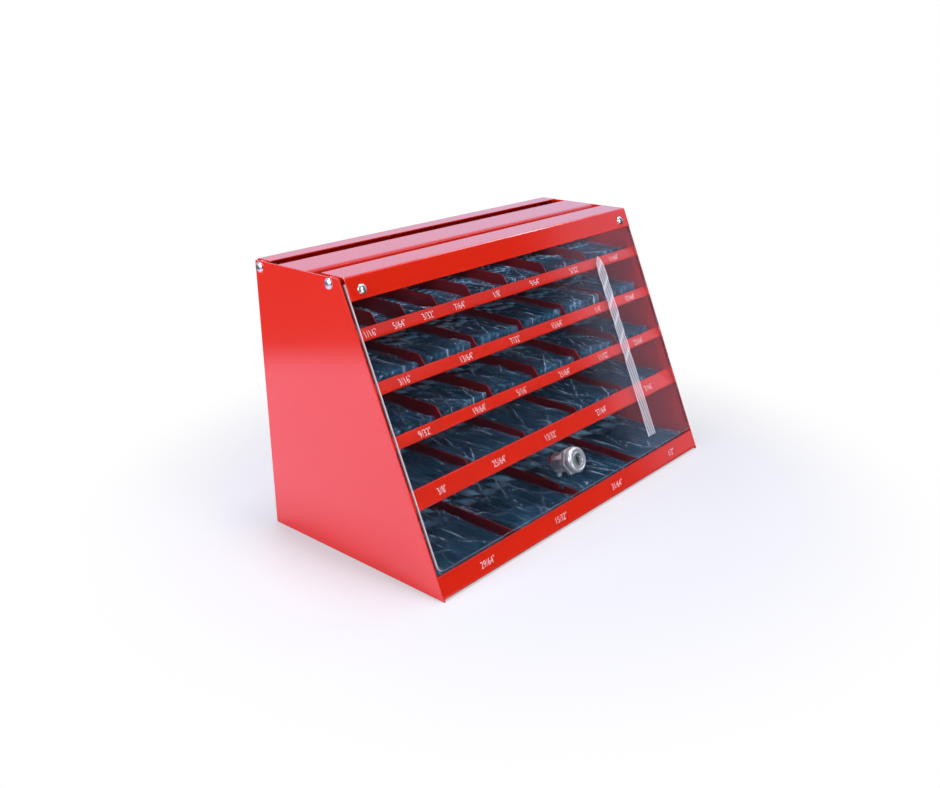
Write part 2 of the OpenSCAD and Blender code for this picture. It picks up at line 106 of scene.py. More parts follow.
def spread(tree, value, low, high):
    return map_range(tree, value, noise_low, noise_high, low, high)


def colour_by(tree, shader, factor, first, second):
    tree.links.new(blend_colours(tree, factor, first, second), shader.inputs["Base Color"])


def roughness_by(tree, shader, value, low, high):
    tree.links.new(spread(tree, value, low, high), shader.inputs["Roughness"])


red_enamel, tree, shader = new_material("red enamel", Coat_Weight=1.0, Coat_Roughness=0.06)
cloud, peel = place_uneven(tree, 7.0, 420.0)
colour_by(tree, shader, cloud, (0.64, 0.0150, 0.0024), (0.68, 0.0180, 0.0032))
roughness_by(tree, shader, cloud, 0.13, 0.18)
bump = new_node(tree, "ShaderNodeBump", {"Strength": 0.04, "Distance": 0.0003, "Height": peel})
tree.links.new(bump.outputs["Normal"], shader.inputs["Normal"])


def dress(material, *nodes):
    for name in nodes:
        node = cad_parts[name]
        node.data.materials.clear()
        node.data.materials.append(material)


def soften_edges(width, *nodes):
    for name in nodes:
        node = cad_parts[name]
        weld = node.modifiers.new("joined triangles", "WELD")
        weld.merge_threshold = 0.000005
        edge = node.modifiers.new("softened edges", "BEVEL")
        edge.width, edge.segments, edge.limit_method = width, 2, "ANGLE"
        edge.angle_limit = math.radians(50)
        edge.loop_slide = False


painted_edge = 0.00025
cabinet_sheets = ["left_side_panel", "right_side_panel", "top_panel", "tray_1", "tray_2", "tray_3", "tray_4",
                  "base_tray"]
dress(red_enamel, *cabinet_sheets)
soften_edges(painted_edge, *cabinet_sheets)

# Dividers: plain upright plates of 1 mm sheet between the pockets, welded to the tray floors.
# Their enamel is a darker, duller red than the outside: painted shade, as they are the same red sheet in
# shade inside the trays.
# The middle one of the base tray, below the lock, is notched for the cam.

shaded_red_enamel, tree, shader = new_material("shaded red enamel", Coat_Weight=0.2, Coat_Roughness=0.2)
cloud, peel = place_uneven(tree, 9.0, 420.0)
# Painted shade: the dividers' red is darkened to a maroon.
colour_by(tree, shader, cloud, (0.25, 0.005, 0.012), (0.31, 0.007, 0.016))
roughness_by(tree, shader, cloud, 0.38, 0.48)
divider_sheets = ["dividers_1", "dividers_2", "dividers_3", "dividers_4", "base_dividers", "keeper_divider"]
dress(shaded_red_enamel, *divider_sheets)
soften_edges(painted_edge, *divider_sheets)

# Size labels on the tray lips: plain inch sizes, one for each pocket.
# They are printed in white ink on the painted lips, at mid height.
# Each row gives the lip's foot, its height and lean, the first size in 64ths and the labels' places across.

half_depth = 0.097
door_lean = math.radians(23.3967)
lip_lean = math.radians(41.0)
tray_rows = [
    dict(foot=(0.080496, 0.180), lip=0.0130, lean=lip_lean, first=4,
         labels=(-0.1685, -0.1387, -0.1075, -0.0710, -0.0250, 0.0261, 0.0839, 0.1479)),
    dict(foot=(0.064271, 0.1425), lip=0.0130, lean=lip_lean, first=12,
         labels=(-0.1509, -0.0817, -0.0202, 0.0379, 0.1008, 0.1546)),
    dict(foot=(0.047613, 0.104), lip=0.0130, lean=lip_lean, first=18,
         labels=(-0.1479, -0.0854, -0.0316, 0.0283, 0.0876, 0.1468)),
    dict(foot=(0.028575, 0.060), lip=0.0190, lean=lip_lean, first=24,
         labels=(-0.1487, -0.0810, -0.0132, 0.0626, 0.1417)),
    dict(foot=(0.0, 0.0), lip=0.0194, lean=door_lean, first=29,
         labels=(-0.1306, -0.0364, 0.0478, 0.1406)),
]
label_height, label_narrowness, ink_stand = 0.0058, 0.80, 0.00006


def inch_size(sixty_fourths):
    shared = math.gcd(sixty_fourths, 64)
    return '%d/%d"' % (sixty_fourths // shared, 64 // shared)


def flat_words(words, height, narrowness):
    size_over_height, stroke_trim = 1.36, 0.02
    curve = bpy.data.curves.new("words", "FONT")
    curve.body, curve.size = words, height * size_over_height
    curve.align_x, curve.align_y = "CENTER", "CENTER"
    curve.resolution_u = 3
    curve.offset = -height * stroke_trim
    holder = bpy.data.objects.new("words", curve)
    bpy.context.collection.objects.link(holder)
    seen = bpy.context.evaluated_depsgraph_get()
    mesh = bpy.data.meshes.new_from_object(holder.evaluated_get(seen), depsgraph=seen)
    mesh.transform(Matrix.Diagonal((narrowness, 1.0, 1.0, 1.0)))
    bpy.data.objects.remove(holder)
    return mesh


def finish_mesh(work, name):
    mesh = bpy.data.meshes.new(name)
    work.to_mesh(mesh)
    work.free()
    return mesh


def add_piece(name, mesh, material):
    mesh.materials.clear()
    mesh.materials.append(material)
    piece = bpy.data.objects.new(name, mesh)
    bpy.context.collection.objects.link(piece)
    return piece


white_ink, tree, shader = new_material("white ink", Roughness=0.5)
cloud, peel = place_uneven(tree, 300.0, 3000.0)
colour_by(tree, shader, peel, (0.80, 0.78, 0.78), (0.9, 0.88, 0.88))

label_work = bmesh.new()
for row in tray_rows:
    side = Vector((1.0, 0.0, 0.0))
    up = Vector((0.0, math.sin(row["lean"]), math.cos(row["lean"])))
    out = Vector((0.0, -math.cos(row["lean"]), math.sin(row["lean"])))
    for step, across in enumerate(row["labels"]):
        mesh = flat_words(inch_size(row["first"] + step), label_height, label_narrowness)
        foot = Vector((across, row["foot"][0] - half_depth, row["foot"][1]))
        mesh.transform(Matrix((side, up, out)).transposed().to_4x4())
        mesh.transform(Matrix.Translation(foot + up * row["lip"] * 0.5 + out * ink_stand))
        label_work.from_mesh(mesh)
        bpy.data.meshes.remove(mesh)
size_labels = add_piece("size_labels", finish_mesh(label_work, "size_labels"), white_ink)
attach(size_labels, "cabinet")

# Door headers and rear panel: folded channels that carry the clear front door and the sheet rear door.
# They are of the same painted sheet as the cabinet, with ears that turn on rivets in the side panels.

door_sheets = ["front_header", "rear_header", "rear_panel"]
dress(red_enamel, *door_sheets)
soften_edges(painted_edge, *door_sheets)

# Clear door pane: a 3 mm acrylic sheet, cut to size with rounded lower corners.
# It hangs behind the front header's flange on two screws, and lamps shine through it onto the trays.
# Its sawn edge is frosted, and shows as a pale line around the sides and the bottom.

clear_acrylic, tree, shader = new_material("clear acrylic", Base_Color=(0.97, 0.985, 0.985, 1.0),
                                           Roughness=0.0, IOR=1.45, Transmission_Weight=1.0)
seen_by_lamp = new_node(tree, "ShaderNodeLightPath").outputs["Is Shadow Ray"]
through = new_node(tree, "ShaderNodeBsdfTransparent", {"Color": (0.69, 0.705, 0.715, 1.0)})
pane_mix = new_node(tree, "ShaderNodeMixShader",
                    {0: seen_by_lamp, 1: shader.outputs["BSDF"], 2: through.outputs["BSDF"]})
tree.links.new(pane_mix.outputs["Shader"], tree.nodes["Material Output"].inputs["Surface"])
dress(clear_acrylic, "door_pane")

frosted_edge, tree, shader = new_material("frosted edge", Roughness=0.35)
cloud, peel = place_uneven(tree, 40.0, 1500.0)
colour_by(tree, shader, peel, (0.52, 0.52, 0.53), (0.68, 0.68, 0.69))
pane_half, pane_low, pane_high, pane_corner = 0.1808, 0.0219, 0.242525, 0.005
pane_face, pane_back = 0.0013, -0.0017
proud_edge, side_ease, ground_border, header_gap = 0.00003, 0.00025, 0.0002, 0.0005
bottom_zone, bottom_fade, corner_steps = 0.03, 0.003, 6


def on_pane(across, up, proud):
    return Vector((across, up * math.sin(door_lean) - proud * math.cos(door_lean) - half_depth,
                   up * math.cos(door_lean) + proud * math.sin(door_lean)))


rim = [(-pane_half, pane_high - header_gap)]
for turn in range(corner_steps + 1):
    angle = math.radians(180 + 90 * turn / corner_steps)
    rim.append((-pane_half + pane_corner + pane_corner * math.cos(angle),
                pane_low + pane_corner + pane_corner * math.sin(angle)))
rim += [(-across, up) for across, up in reversed(rim)]
edge_work = bmesh.new()
rungs = []
for across, up in rim:
    wider, lower = across * (1 + proud_edge / pane_half), up - (proud_edge if up < bottom_zone else 0)
    inner = up + ground_border * min(1.0, max(0.0, (bottom_zone - up) / bottom_fade))
    rungs.append([edge_work.verts.new(corner) for corner in (
        on_pane(wider, lower, pane_back + side_ease), on_pane(wider, lower, pane_face - side_ease),
        on_pane(across * (1 - ground_border / pane_half), inner, pane_face + proud_edge))])
for low, high in zip(rungs, rungs[1:]):
    edge_work.faces.new((low[0], high[0], high[1], low[1]))
    edge_work.faces.new((low[1], high[1], high[2], low[2]))
pane_edge = add_piece("pane_sawn_edge", finish_mesh(edge_work, "pane_sawn_edge"), frosted_edge)
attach(pane_edge, "front_door")

# Drill figure on the pane: a plain upright twist drill, point up, on the right of the door.
# It is a translucent white film cut to shape and stuck on the outside of the pane.
# The shank is a straight strip, and slanting leaves of a second layer show the flutes.

figure_middle, figure_top, figure_neck, figure_foot = 0.1178, 0.2095, 0.1055, 0.0345
figure_half, figure_lead, figure_point, figure_tip, figure_border = 0.0061, 0.0345, 0.008, 0.0006, 0.0009
strip_face, leaf_face, border_face = pane_face + 0.0001, pane_face + 0.00018, pane_face + 0.00022
outline_steps, leaf_steps = 120, 24


def add_strip(work, rims, proud):
    verts = [[work.verts.new(on_pane(figure_middle + side, up, proud)) for side in sides]
             for up, sides in rims]
    for low, high in zip(verts, verts[1:]):
        work.faces.new((low[0], low[1], high[1], high[0]))


def figure_width(up):
    if up <= figure_neck:
        return figure_half
    waist = 0.86 + 0.14 * abs(math.cos(math.pi * (up - figure_neck) / (figure_lead / 2)))
    return figure_half * waist * min(1.0, ((figure_top - up) / figure_point) ** 0.8)


figure_work, leaf_work = bmesh.new(), bmesh.new()
outline = [figure_foot + (figure_top - figure_foot) * step / outline_steps
           for step in range(outline_steps + 1)]
add_strip(figure_work, [(up, (-figure_width(up), figure_width(up))) for up in outline], strip_face)
leaf_count = int((figure_top - figure_neck) / (figure_lead / 2))
for leaf in range(leaf_count + 1):
    rims = []
    for step in range(leaf_steps + 1):
        along = step / leaf_steps
        up = figure_neck + (leaf + along) * figure_lead / 2
        if up > figure_top - figure_tip:
            break
        swing = -math.cos(math.pi * along)
        wide = 0.10 + 0.26 * math.sin(math.pi * along)
        edge = figure_width(up)
        rims.append((up, (max(-edge, (swing - wide) * edge), min(edge, (swing + wide) * edge))))
    if len(rims) > 1:
        add_strip(leaf_work, rims, leaf_face)
for side in (-1, 1):
    rims = [(up, sorted((side * figure_width(up), side * (figure_width(up) - figure_border))))
            for up in outline]
    add_strip(leaf_work, rims, border_face)
for name, work, thin, thick in (("drill_figure", figure_work, 0.30, 0.52),
                                ("drill_figure_flutes", leaf_work, 0.55, 0.75)):
    pale_film, tree, shader = new_material(name + " film", Base_Color=(0.80, 0.79, 0.87, 1.0), Roughness=0.4)
    place = new_node(tree, "ShaderNodeTexCoord").outputs["Object"]
    turned = new_node(tree, "ShaderNodeMapping", {"Vector": place, "Rotation": (0.0, 0.7, 0.9)})
    hatch = new_node(tree, "ShaderNodeTexWave",
                     {"Vector": turned.outputs["Vector"], "Scale": 190.0, "Distortion": 0.0})
    tree.links.new(spread(tree, hatch.outputs["Fac"], thin, thick), shader.inputs["Alpha"])
    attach(add_piece(name, finish_mesh(work, name), pale_film), "front_door")

# Rivets, screws, nuts and spacers: the doors turn on four domed rivets with nylon spacers between the sheets.
# Four pan head screws with a cross recess hold the pane and the rear panel, with nuts behind them.
# Steel with a bright zinc plate; the heads are turned and the recess is pressed in.

bright_zinc, tree, shader = new_material("bright zinc", Metallic=1.0)
cloud, peel = place_uneven(tree, 160.0, 2200.0)
colour_by(tree, shader, cloud, (0.62, 0.63, 0.65), (0.78, 0.78, 0.78))
roughness_by(tree, shader, peel, 0.18, 0.34)
dress(bright_zinc, "door_nuts", "rear_nuts")

white_nylon, tree, shader = new_material("white nylon", Roughness=0.45)
cloud, peel = place_uneven(tree, 120.0, 1500.0)
colour_by(tree, shader, cloud, (0.78, 0.77, 0.72), (0.84, 0.83, 0.79))
dress(white_nylon, "front_spacers", "rear_spacers")


def turned_mesh(name, outline, sides=40, shape=None):
    work = bmesh.new()
    rings = []
    for radius, along in outline:
        if radius == 0.0:
            rings.append([work.verts.new((0.0, 0.0, along))])
            continue
        ring = []
        for side in range(sides):
            angle = math.tau * side / sides
            point = Vector((radius * math.cos(angle), radius * math.sin(angle), along))
            ring.append(work.verts.new(shape(point) if shape else point))
        rings.append(ring)
    for low, high in zip(rings, rings[1:]):
        for side in range(sides):
            after = (side + 1) % sides
            corners = [low[side % len(low)], low[after % len(low)],
                       high[after % len(high)], high[side % len(high)]]
            corners = [corner for place, corner in enumerate(corners) if corner not in corners[:place]]
            if len(corners) > 2:
                work.faces.new(corners)
    bmesh.ops.recalc_face_normals(work, faces=work.faces)
    return finish_mesh(work, name)


def shade_by_angle(mesh, degrees):
    work = bmesh.new()
    work.from_mesh(mesh)
    for face in work.faces:
        face.smooth = True
    for edge in work.edges:
        edge.smooth = len(edge.link_faces) == 2 and edge.calc_face_angle() < math.radians(degrees)
    work.to_mesh(mesh)
    work.free()


def cut_out(mesh, cutter):
    body = bpy.data.objects.new("body", mesh)
    tool = bpy.data.objects.new("tool", cutter)
    for thing in (body, tool):
        bpy.context.collection.objects.link(thing)
    cut = body.modifiers.new("cut", "BOOLEAN")
    cut.operation, cut.object, cut.solver = "DIFFERENCE", tool, "EXACT"
    seen = bpy.context.evaluated_depsgraph_get()
    result = bpy.data.meshes.new_from_object(body.evaluated_get(seen), depsgraph=seen)
    for thing in (body, tool):
        bpy.data.objects.remove(thing)
    return result


def box_mesh(*blocks):
    work = bmesh.new()
    for low, high in blocks:
        size = Vector(high) - Vector(low)
        middle = (Vector(high) + Vector(low)) / 2
        block = Matrix.Translation(middle) @ Matrix.Diagonal((*size, 1.0))
        bmesh.ops.create_cube(work, size=1.0, matrix=block)
    return finish_mesh(work, "blocks")


def dome_outline(radius, height):
    angles = [math.radians(degrees) for degrees in (0, 12, 25, 38, 52, 66, 78)]
    return [(radius * math.sin(angle), height * math.cos(angle)) for angle in angles]


head_crease = 35


def screw_mesh(grip):
    head, rise, shank, tip, lead = 0.004, 0.0022, 0.002, 0.0016, 0.0003
    arm, wide, floor, above = 0.0021, 0.00042, 0.0009, 0.003
    outline = dome_outline(head, rise)
    outline += [(head, 0.0), (shank, 0.0), (shank, lead - grip), (tip, -grip), (0.0, -grip)]
    recess = box_mesh(((-arm, -wide, floor), (arm, wide, above)), ((-wide, -arm, floor), (wide, arm, above)))
    mesh = cut_out(turned_mesh("screw", outline), recess)
    shade_by_angle(mesh, head_crease)
    return mesh


def rivet_mesh():
    head, rise, shank, grip = 0.0043, 0.0018, 0.0024, 0.00452
    tail, tail_side, tail_end, tail_round = 0.0036, 0.0008, 0.0013, 0.0006
    outline = dome_outline(head, rise)
    outline += [(head, 0.0), (shank, 0.0), (shank, -grip), (tail, -grip), (tail, -grip - tail_side),
                (tail - tail_round, -grip - tail_end), (0.0, -grip - tail_end)]
    mesh = turned_mesh("rivet", outline)
    shade_by_angle(mesh, head_crease)
    return mesh


def start_growth(name, *inputs):
    tree = bpy.data.node_groups.new(name, "GeometryNodeTree")
    for label, kind in (("Geometry", "Geometry"), *inputs, ("Finish", "Material")):
        tree.interface.new_socket(label, in_out="INPUT", socket_type="NodeSocket" + kind)
    tree.interface.new_socket("Geometry", in_out="OUTPUT", socket_type="NodeSocketGeometry")
    return tree, new_node(tree, "NodeGroupInput").outputs


def at_points(tree, name, kind):
    return new_node(tree, "GeometryNodeInputNamedAttribute", {"Name": name},
                    data_type=kind).outputs["Attribute"]


def end_growth(tree, given, shape, rotation, scale):
    source = new_node(tree, "GeometryNodeObjectInfo", {"Object": given[shape]})
    placed = new_node(tree, "GeometryNodeInstanceOnPoints",
                      {"Points": given["Geometry"], "Instance": source.outputs["Geometry"],
                       "Rotation": rotation, "Scale": scale})
    real = new_node(tree, "GeometryNodeRealizeInstances", {"Geometry": placed.outputs["Instances"]})
    finish = new_node(tree, "GeometryNodeSetMaterial",
                      {"Geometry": real.outputs["Geometry"], "Material": given["Finish"]})
    result = new_node(tree, "NodeGroupOutput")
    tree.links.new(finish.outputs["Geometry"], result.inputs["Geometry"])


def make_fastener_tree():
    tree, given = start_growth("fasteners at their holes", ("Fastener", "Object"), ("Scale", "Float"))
    facing = at_points(tree, "facing", "FLOAT_VECTOR")
    aim = new_node(tree, "FunctionNodeAlignRotationToVector", {"Vector": facing}, axis="Z")
    end_growth(tree, given, "Fastener", aim.outputs["Rotation"], given["Scale"])
    return tree


def grow_piece(name, points, attributes, tree, **inputs):
    start = bpy.data.meshes.new(name)
    start.from_pydata([tuple(point) for point in points], [], [])
    for label, (kind, field, values) in attributes.items():
        layer = start.attributes.new(label, kind, "POINT")
        layer.data.foreach_set(field, values)
    piece = bpy.data.objects.new(name, start)
    bpy.context.collection.objects.link(piece)
    growth = piece.modifiers.new("growth", "NODES")
    growth.node_group = tree
    for item in tree.interface.items_tree:
        if item.in_out == "INPUT" and item.name.replace(" ", "_") in inputs:
            growth[item.identifier] = inputs[item.name.replace(" ", "_")]
    seen = bpy.context.evaluated_depsgraph_get()
    mesh = bpy.data.meshes.new_from_object(piece.evaluated_get(seen), depsgraph=seen)
    piece.modifiers.clear()
    piece.data = mesh
    mesh.name = name
    bpy.data.meshes.remove(start)
    return piece


def stand_in(mesh):
    shape = bpy.data.objects.new("shape", mesh)
    bpy.context.collection.objects.link(shape)
    return shape


fastener_tree = make_fastener_tree()
front_out = Vector((0.0, -math.cos(door_lean), math.sin(door_lean)))
rear_out = Vector((0.0, 1.0, 0.0))
screw_side, door_screw_up, door_flange_face, door_grip = 0.1678, 0.235788, 0.0025, 0.0076
rear_screw_height, rear_flange_face, rear_grip = 0.2169, 0.196, 0.0058
pivot_side, pivot_height, front_pivot_back, rear_pivot_back = 0.184, 0.2215, 0.109, 0.1891
door_screw_places = [on_pane(side * screw_side, door_screw_up, door_flange_face) for side in (-1, 1)]
rear_screw_places = [Vector((side * screw_side, rear_flange_face - half_depth, rear_screw_height))
                     for side in (-1, 1)]
fastener_sets = [("door_screws", "front_door", screw_mesh(door_grip), door_screw_places, [front_out] * 2),
                 ("rear_screws", "rear_door", screw_mesh(rear_grip), rear_screw_places, [rear_out] * 2)]
for node, back in (("front_pivots", front_pivot_back), ("rear_pivots", rear_pivot_back)):
    pivot_places = [Vector((side * pivot_side, back - half_depth, pivot_height)) for side in (-1, 1)]
    fastener_sets.append((node, "cabinet", rivet_mesh(), pivot_places,
                          [Vector((side, 0.0, 0.0)) for side in (-1, 1)]))
for node, body, mesh, places, facings in fastener_sets:
    shape = stand_in(mesh)
    flat = [value for facing in facings for value in facing]
    heads = grow_piece(node + "_plated", places, {"facing": ("FLOAT_VECTOR", "vector", flat)}, fastener_tree,
                       Fastener=shape, Scale=1.0, Finish=bright_zinc)
    bpy.data.objects.remove(shape)
    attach(heads, body)
    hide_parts(node)

# Cam lock: a chromed die cast body through the pane, held by a hex nut behind it.
# Its plug has a keyhole, and carries a stop washer and a steel cam on a square tail with one screw.
# The barrel is threaded all along, with two flats that keep it from turning.

lock_chrome, tree, shader = new_material("lock chrome", Metallic=0.85)
cloud, peel = place_uneven(tree, 90.0, 1800.0)
colour_by(tree, shader, cloud, (0.70, 0.76, 0.79), (0.82, 0.87, 0.89))
roughness_by(tree, shader, cloud, 0.26, 0.36)

plug_steel, tree, shader = new_material("plug steel", Metallic=0.8)
cloud, peel = place_uneven(tree, 200.0, 2400.0)
colour_by(tree, shader, cloud, (0.26, 0.31, 0.31), (0.36, 0.41, 0.41))
roughness_by(tree, shader, peel, 0.2, 0.34)

lock_height, lock_crease = 0.0489, 32
lock_up = Vector((0.0, math.sin(door_lean), math.cos(door_lean)))
lock_axes = Matrix((Vector((1.0, 0.0, 0.0)), lock_up, front_out))
lock_place = Matrix.Translation(on_pane(0.0, lock_height, 0.0)) @ lock_axes.transposed().to_4x4()
head_face, head_seat, head_radius, barrel_end = 0.0063, 0.0013, 0.0110, -0.020
flat_half, barrel_radius, barrel_tip, plug_bore = 0.0078, 0.009, 0.0084, 0.00557
thread_depth, thread_pitch, thread_start, thread_end = 0.0005, 0.0013, 0.0005, 0.0002


def flatted(point):
    if point.z < head_seat:
        point.x = max(-flat_half, min(flat_half, point.x))
    return point


body_outline = [(plug_bore, barrel_end), (barrel_tip, barrel_end)]
along = barrel_end + thread_start
while along < head_seat - thread_pitch:
    body_outline += [(barrel_radius - thread_depth, along), (barrel_radius, along + thread_pitch * 0.5)]
    along += thread_pitch
body_outline += [(barrel_radius, head_seat - thread_end), (head_radius, head_seat)]
head_rounds = [(head_radius, 0.0019), (0.01085, 0.0013), (0.0099, 0.0003), (0.0094, 0.0), (0.0087, 0.0),
               (0.0083, 0.0004), (0.0064, 0.0004), (0.0061, 0.0001), (0.0057, 0.0001), (plug_bore, 0.0004)]
body_outline += [(radius, head_face - below) for radius, below in head_rounds]
body_outline.append((plug_bore, barrel_end))
mesh = turned_mesh("lock_body_chromed", body_outline, sides=56, shape=flatted)
shade_by_angle(mesh, lock_crease)
mesh.transform(lock_place)
lock_body = add_piece("lock_body_chromed", mesh, lock_chrome)
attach(lock_body, "front_door")
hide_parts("lock_body")

plug_radius, plug_end, key_depth, key_clear = 0.0055, -0.0203, 0.0075, 0.001
plug_outline = [(0.0, plug_end), (plug_radius, plug_end)]
plug_rounds = [(plug_radius, 0.0010), (0.0051, 0.0006), (0.0042, 0.0006), (0.0040, 0.0011), (0.0, 0.0011)]
plug_outline += [(radius, head_face - below) for radius, below in plug_rounds]
mesh = turned_mesh("plug", plug_outline, sides=48)
for half_wide, low, high in ((0.0009, -0.0034, 0.0034), (0.0017, -0.0007, 0.0012)):
    keyway = box_mesh(((-half_wide, low, head_face - key_depth - half_wide),
                       (half_wide, high, head_face + key_clear)))
    mesh = cut_out(mesh, keyway)
tail_half, tail_end, tail_start = 0.003, -0.0233, -0.0200
tail = box_mesh(((-tail_half, -tail_half, tail_end), (tail_half, tail_half, tail_start)))
work = bmesh.new()
work.from_mesh(mesh)
work.from_mesh(tail)
work.to_mesh(mesh)
work.free()
shade_by_angle(mesh, lock_crease)
mesh.transform(lock_place)
lock_plug = add_piece("lock_plug_keyed", mesh, plug_steel)
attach(lock_plug, "lock")
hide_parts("lock_plug")

dress(lock_chrome, "lock_nut", "lock_stop_washer")
dress(bright_zinc, "lock_cam", "lock_cam_screw")
pressed_edge = 0.0003
soften_edges(pressed_edge, "lock_nut", "lock_stop_washer", "lock_cam")

# Twist drills: jobber drills of blackened steel, graded from 1/16 to 1/2 inch, one size to a pocket.
# They lie side by side on the trays with their shanks to the front, two deep in the top two trays.
# Each has a plain blackened shank, two twisted flutes and a cone point. The flute grooves are coloured bright
# blue-white: partly their ground finish, partly a painted highlight for the glints on the flutes.

drill_steel, tree, shader = new_material("drill steel", Metallic=0.05)
cloud, peel = place_uneven(tree, 120.0, 1500.0)
# Flute mask: ground finish and painted highlight, bright blue-white in the grooves.
ground = new_node(tree, "ShaderNodeAttribute", attribute_name="ground").outputs["Fac"]
oxide_black = blend_colours(tree, cloud, (0.003, 0.018, 0.030), (0.007, 0.040, 0.066))
bright_ground_and_glint = blend_colours(tree, peel, (0.20, 0.58, 1.0), (0.50, 0.84, 1.0))
colour_by(tree, shader, ground, oxide_black, bright_ground_and_glint)
roughness_by(tree, shader, peel, 0.16, 0.28)

inch = 0.0254
small_reach = (1.875, 2.0, 2.25, 2.625, 2.75, 2.875, 3.125, 3.25)
sheet, hem_depth, film_room = 0.0012, 0.0028, 0.0007
clear_width, first_pocket, pocket_growth, small_pockets = 0.3656, 0.0276, 1.4, 8
pocket_spare, most_drills, least_pitch, least_rise = 0.0112, 8, 1.12, 0.6
drill_gap, film_above, lip_gap, shank_gap = 0.00012, 0.0006, 0.001, 0.002
layer_counts = (2, 2, 1, 1, 1)
roll_seed = 11

shares = [pocket ** pocket_growth for pocket in range(small_pockets)]
growing = [-clear_width / 2]
for share in shares:
    growth = (clear_width - small_pockets * first_pocket) * share / sum(shares)
    growing.append(growing[-1] + first_pocket + growth)
pocket_edges = [growing] + [[-clear_width / 2 + clear_width * step / count for step in range(count + 1)]
                            for count in (6, 6, 5, 4)]


def pocket_drills(tier):
    row = tray_rows[tier]
    back, base = row["foot"]
    for pocket, (left, right) in enumerate(zip(pocket_edges[tier], pocket_edges[tier][1:])):
        size = row["first"] + pocket
        wide = size / 64 * inch
        reach = (small_reach[size - 4] if size < 12 else 3.5 + (size - 12) / 8) * inch
        room = right - left - pocket_spare
        count = max(2, min(most_drills, math.floor(room / wide / least_pitch)))
        pitch = (room - wide) / (count - 1)
        rise = max(least_rise * wide, math.sqrt(max(0.0, (wide + drill_gap) ** 2 - (pitch / 2) ** 2)))
        floor = base + sheet + film_room
        high = floor + wide + rise * (layer_counts[tier] - 1) + film_above
        stop = min(high, base + row["lip"] * math.cos(row["lean"])) - base
        front = back + hem_depth / math.cos(row["lean"]) + stop * math.tan(row["lean"]) + lip_gap
        yield dict(middle=(left + right) / 2, room=room, count=count, wide=wide, reach=reach, floor=floor,
                   high=high, front=front - half_depth, pitch=pitch, rise=rise)


def drill_mesh(slenderness):
    shank, point, lead, sides = 0.40, 0.32 / slenderness, 5.2, 12
    full, eased, shank_round, shank_end = 0.5, 0.44, 0.07 / slenderness, shank - 0.03
    groove_depth, groove_round, steps_a_turn, crease_angle = 0.52, 0.7, 9, 48
    turns = (1 - shank) * slenderness / lead
    rows = [(0.0, 0.0, 0.0), (0.0, eased, 0.0), (shank_round, full, 0.0), (shank_end, full, 0.0)]
    steps = math.ceil(turns * steps_a_turn)
    for step in range(steps + 1):
        rows.append((shank + (1 - point - shank) * step / steps, full, min(1.0, step / 2)))
    work = bmesh.new()
    ground_and_glint_layer = work.verts.layers.float.new("ground")
    rings = []
    for along, radius, cut in rows:
        if radius == 0.0:
            rings.append([work.verts.new((0.0, along, 0.0))] * sides)
            continue
        twist = math.tau * turns * max(0.0, along - shank) / (1 - shank)
        ring = []
        for side in range(sides):
            angle = math.tau * side / sides
            groove = max(0.0, math.cos(2 * angle)) ** groove_round * groove_depth * cut
            vert = work.verts.new((radius * (1 - groove) * math.cos(angle + twist), along,
                                   radius * (1 - groove) * math.sin(angle + twist)))
            # Deeper in the groove, more of the ground finish and painted highlight.
            vert[ground_and_glint_layer] = min(1.0, groove * 3)
            ring.append(vert)
        rings.append(ring)
    rings.append([work.verts.new((0.0, 1.0, 0.0))] * sides)
    for low, high in zip(rings, rings[1:]):
        for side in range(sides):
            after = (side + 1) % sides
            corners = [low[side], high[side], high[after], low[after]]
            corners = [corner for place, corner in enumerate(corners) if corner not in corners[:place]]
            work.faces.new(corners)
    bmesh.ops.recalc_face_normals(work, faces=work.faces)
    mesh = finish_mesh(work, "twist drill")
    shade_by_angle(mesh, crease_angle)
    return mesh


def make_drill_tree():
    tree, given = start_growth("drills side by side", ("Drill", "Object"), ("Most Roll", "Float"),
                               ("Seed", "Int"))
    wide, reach = [at_points(tree, name, "FLOAT") for name in ("wide", "reach")]
    roll = new_node(tree, "FunctionNodeRandomValue", {3: given["Most Roll"], "Seed": given["Seed"]},
                    data_type="FLOAT")
    turn = new_node(tree, "ShaderNodeCombineXYZ", {"Y": roll.outputs[1]})
    size = new_node(tree, "ShaderNodeCombineXYZ", {"X": wide, "Y": reach, "Z": wide})
    end_growth(tree, given, "Drill", turn.outputs["Vector"], size.outputs["Vector"])
    return tree


drill_tree = make_drill_tree()
for tier in range(5):
    for layer in range(layer_counts[tier]):
        places, widths, reaches = [], [], []
        for pocket in pocket_drills(tier):
            count = pocket["count"] - layer
            for step in range(count):
                places.append((pocket["middle"] + (step - (count - 1) / 2) * pocket["pitch"],
                               pocket["front"] + shank_gap,
                               pocket["floor"] + pocket["wide"] / 2 + layer * pocket["rise"]))
                widths.append(pocket["wide"])
                reaches.append(pocket["reach"])
        shape = stand_in(drill_mesh(sum(reaches) / sum(widths)))
        name = ("twist_drills_%d", "upper_twist_drills_%d")[layer] % (tier + 1)
        sizes = {"wide": ("FLOAT", "value", widths), "reach": ("FLOAT", "value", reaches)}
        drills = grow_piece(name, places, sizes, drill_tree, Drill=shape, Most_Roll=math.pi,
                            Seed=roll_seed + tier + 5 * layer, Finish=drill_steel)
        bpy.data.objects.remove(shape)
        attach(drills, "cabinet")
        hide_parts(("drill_bits_%d", "upper_drill_bits_%d")[layer] % (tier + 1))

# Pouches: thin clear film sleeves around the drills of each pocket, sealed at the front.
# The film is loose and crumpled, and it lies on the tray floor.
# Its larger folds are in the mesh, and finer creases are in the material. Creases, fold crests, seams and the
# ruffled front ends are painted glints: the film is made whiter and more opaque there, as where it catches
# the light.


def reckon(tree, operation, *values, clamp=False):
    return new_node(tree, "ShaderNodeMath", dict(enumerate(values)), operation=operation,
                    use_clamp=clamp).outputs[0]


